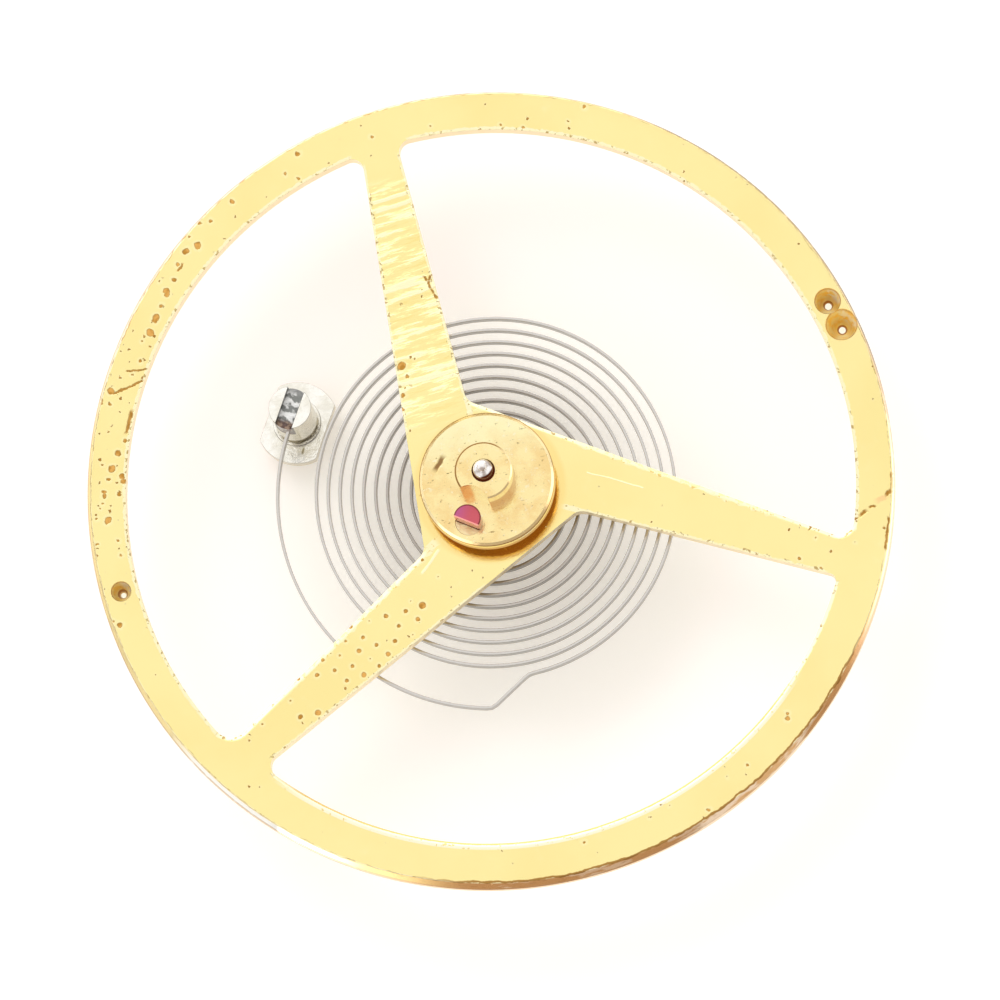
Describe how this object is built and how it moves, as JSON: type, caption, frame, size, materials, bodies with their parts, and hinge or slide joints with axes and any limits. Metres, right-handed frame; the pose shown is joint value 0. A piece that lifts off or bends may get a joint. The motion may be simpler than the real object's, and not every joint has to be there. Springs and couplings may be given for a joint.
{
  "type": "watch balance wheel assembly",
  "caption": "Watch balance: plain rim on slanting arms, staff with pivots, double roller with D-shaped jewel, and a flat hairspring running from a split collet to a slotted stud.",
  "frame": {"origin": "tip of the cock-side pivot, on the staff's axis", "axes": "+Z along the staff towards the dial side, where the roller is; +X to the right and +Y up as the picture shows the wheel"},
  "size_m": [0.01, 0.01, 0.0032],
  "materials": {
    "gilt_brass": "gilt, smooth, with fine pits and stains",
    "plain_brass": "turned",
    "staff_steel": "polished",
    "spring_steel": "smooth white alloy",
    "stud_steel": "turned, bright",
    "ruby": "polished synthetic ruby",
    "shellac": "honey amber, level with the roller table",
    "cement": "clear grey, glossy and uneven"
  },
  "bodies": {
    "stud_side": {"hairspring_stud": "stud_steel", "stud_cement": "cement", "hairspring": "spring_steel"},
    "balance": {"balance_wheel": "gilt_brass", "balance_staff": "staff_steel", "double_roller": "gilt_brass", "impulse_jewel": "ruby", "jewel_shellac": "shellac", "collet": "plain_brass", "collet_pin": "plain_brass"}
  },
  "joints": [
    {"name": "balance_swing", "type": "hinge", "parent": "stud_side", "child": "balance", "pos_m": [0, 0, 0], "axis": [0, 0, 1], "range_deg": [-310, 310], "stiffness_Nm_per_rad": 0.00000088, "deforming": ["hairspring"]}
  ]
}
